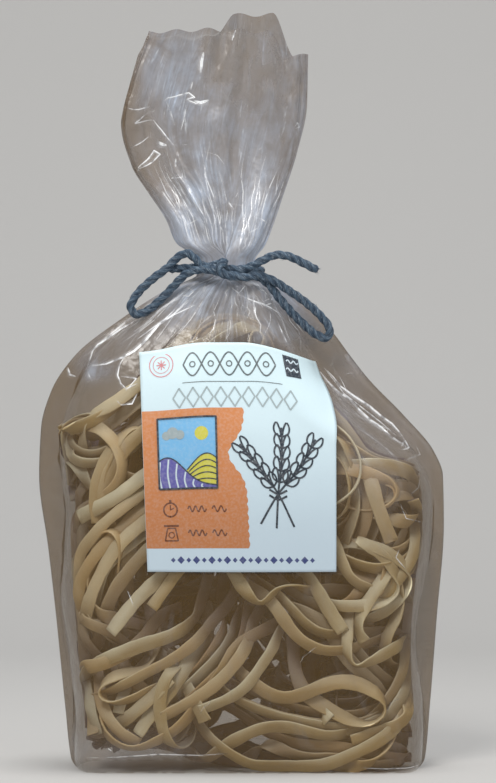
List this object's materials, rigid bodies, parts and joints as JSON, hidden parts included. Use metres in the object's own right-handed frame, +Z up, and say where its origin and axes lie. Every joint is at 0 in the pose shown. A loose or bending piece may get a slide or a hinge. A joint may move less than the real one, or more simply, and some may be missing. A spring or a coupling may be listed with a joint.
{
  "type": "bag of dry pasta nests",
  "caption": "Clear film bag of dry ribbon pasta nests on a flat block base, its neck gathered and tied with a cord bow, a paper label on its front.",
  "frame": {"origin": "middle of the flat base, at the level of the surface it stands on", "axes": "+Z up along the bag to its open mouth, +X to the right seen from the front, and the labelled front faces -Y"},
  "size_m": [0.2025, 0.0878, 0.378],
  "materials": {
    "film": "clear crinkled film, glossy",
    "label": "smooth uncoated paper, printed",
    "cord": "twisted paper cord, matt",
    "pasta": "dry semolina dough, matt and slightly rough",
    "print": "printed fields and drawing on the label, matt ink"
  },
  "bodies": {
    "root": {"bag": "film", "label": "label", "tie_cord": "cord"}
  },
  "joints": []
}
